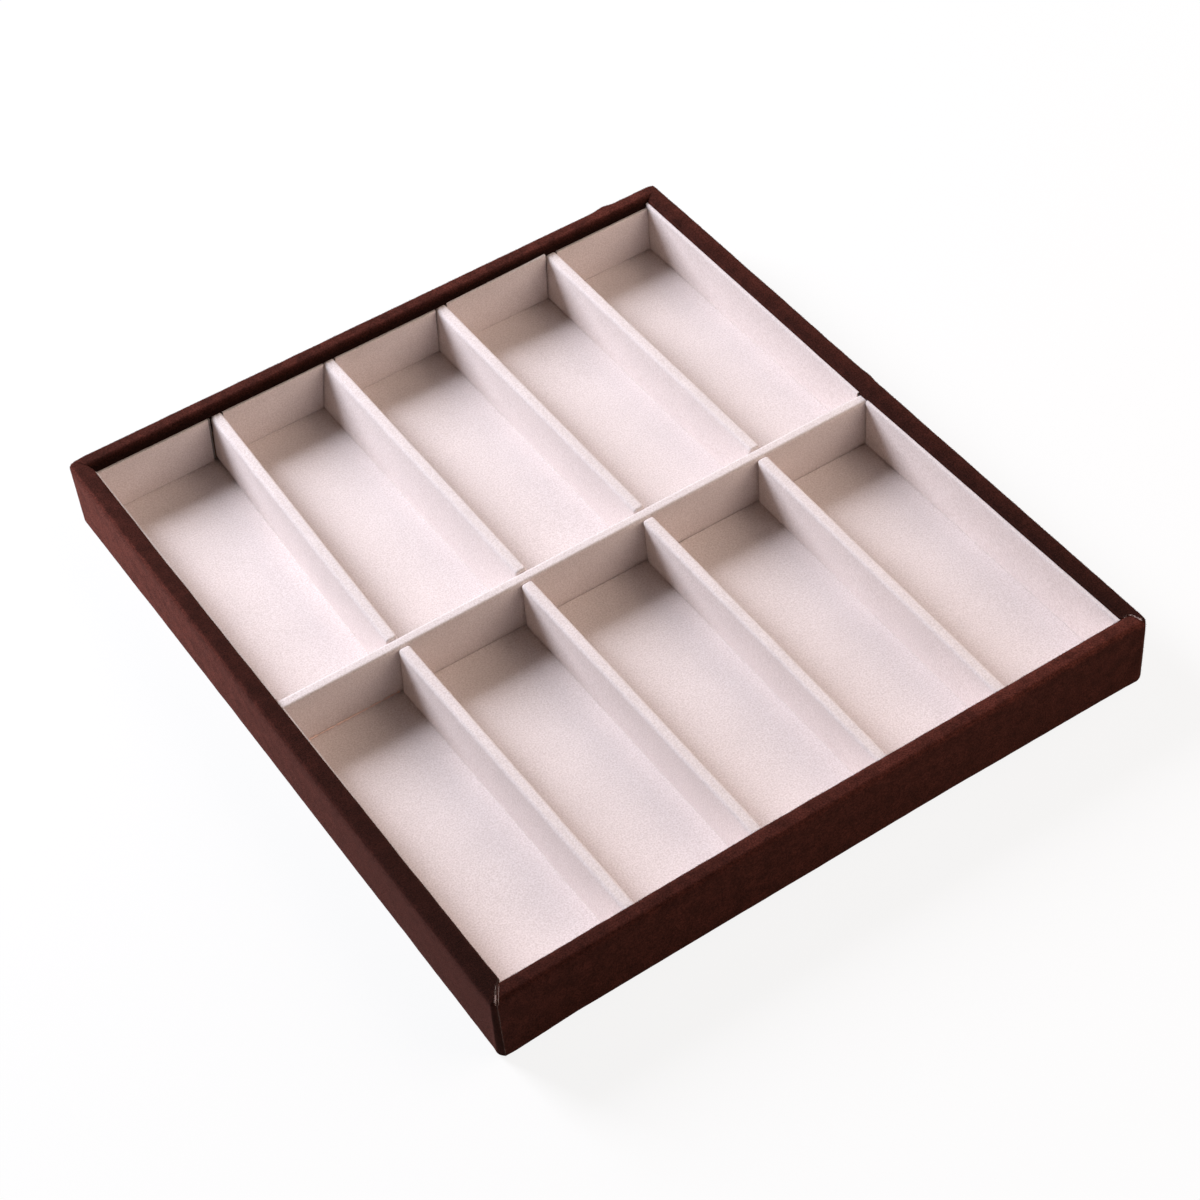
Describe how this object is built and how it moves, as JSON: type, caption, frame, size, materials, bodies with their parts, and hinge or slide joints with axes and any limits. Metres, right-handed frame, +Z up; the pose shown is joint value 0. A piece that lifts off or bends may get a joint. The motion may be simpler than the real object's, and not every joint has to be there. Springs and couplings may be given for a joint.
{
  "type": "glasses storage tray",
  "caption": "Open shallow tray for folded glasses: velvet-wrapped walls round two rows of compartments lined in pale suede cloth, with a long centre divider.",
  "frame": {"origin": "centre of the underside, on the surface that the tray rests on", "axes": "+Z up, out of the open top; +X along a row of five compartments; +Y from the front row to the back row, along the length of a compartment"},
  "size_m": [0.31, 0.35, 0.035],
  "materials": {
    "dark_velvet": "short-pile velvet, dark reddish brown",
    "pale_suede_cloth": "brushed suede-like cloth, pale pinkish cream",
    "grey_board": "uncoated grey board",
    "brown_fibreboard": "raw fibreboard",
    "flocked_paper": "dark flocked paper"
  },
  "bodies": {
    "root": {"back_divider_board_1": "grey_board", "back_divider_board_2": "grey_board", "back_divider_board_3": "grey_board", "back_divider_board_4": "grey_board", "back_divider_cloth_1": "pale_suede_cloth", "back_divider_cloth_2": "pale_suede_cloth", "back_divider_cloth_3": "pale_suede_cloth", "back_divider_cloth_4": "pale_suede_cloth", "back_floor_card": "grey_board", "back_floor_cloth": "pale_suede_cloth", "back_liner_card_1": "grey_board", "back_liner_card_2": "grey_board", "back_liner_card_3": "grey_board", "back_liner_card_4": "grey_board", "back_liner_card_5": "grey_board", "back_liner_cloth_1": "pale_suede_cloth", "back_liner_cloth_2": "pale_suede_cloth", "back_liner_cloth_3": "pale_suede_cloth", "back_liner_cloth_4": "pale_suede_cloth", "back_liner_cloth_5": "pale_suede_cloth", "back_velvet_wrap": "dark_velvet", "back_wall_board": "brown_fibreboard", "base_board": "brown_fibreboard", "centre_divider_board": "grey_board", "centre_divider_cloth": "pale_suede_cloth", "front_divider_board_1": "grey_board", "front_divider_board_2": "grey_board", "front_divider_board_3": "grey_board", "front_divider_board_4": "grey_board", "front_divider_cloth_1": "pale_suede_cloth", "front_divider_cloth_2": "pale_suede_cloth", "front_divider_cloth_3": "pale_suede_cloth", "front_divider_cloth_4": "pale_suede_cloth", "front_floor_card": "grey_board", "front_floor_cloth": "pale_suede_cloth", "front_liner_card_1": "grey_board", "front_liner_card_2": "grey_board", "front_liner_card_3": "grey_board", "front_liner_card_4": "grey_board", "front_liner_card_5": "grey_board", "front_liner_cloth_1": "pale_suede_cloth", "front_liner_cloth_2": "pale_suede_cloth", "front_liner_cloth_3": "pale_suede_cloth", "front_liner_cloth_4": "pale_suede_cloth", "front_liner_cloth_5": "pale_suede_cloth", "front_velvet_wrap": "dark_velvet", "front_wall_board": "brown_fibreboard", "left_back_liner_card": "grey_board", "left_back_liner_cloth": "pale_suede_cloth", "left_front_liner_card": "grey_board", "left_front_liner_cloth": "pale_suede_cloth", "left_velvet_wrap": "dark_velvet", "left_wall_board": "brown_fibreboard", "right_back_liner_card": "grey_board", "right_back_liner_cloth": "pale_suede_cloth", "right_front_liner_card": "grey_board", "right_front_liner_cloth": "pale_suede_cloth", "right_velvet_wrap": "dark_velvet", "right_wall_board": "brown_fibreboard", "underside_cover": "flocked_paper"}
  },
  "joints": []
}
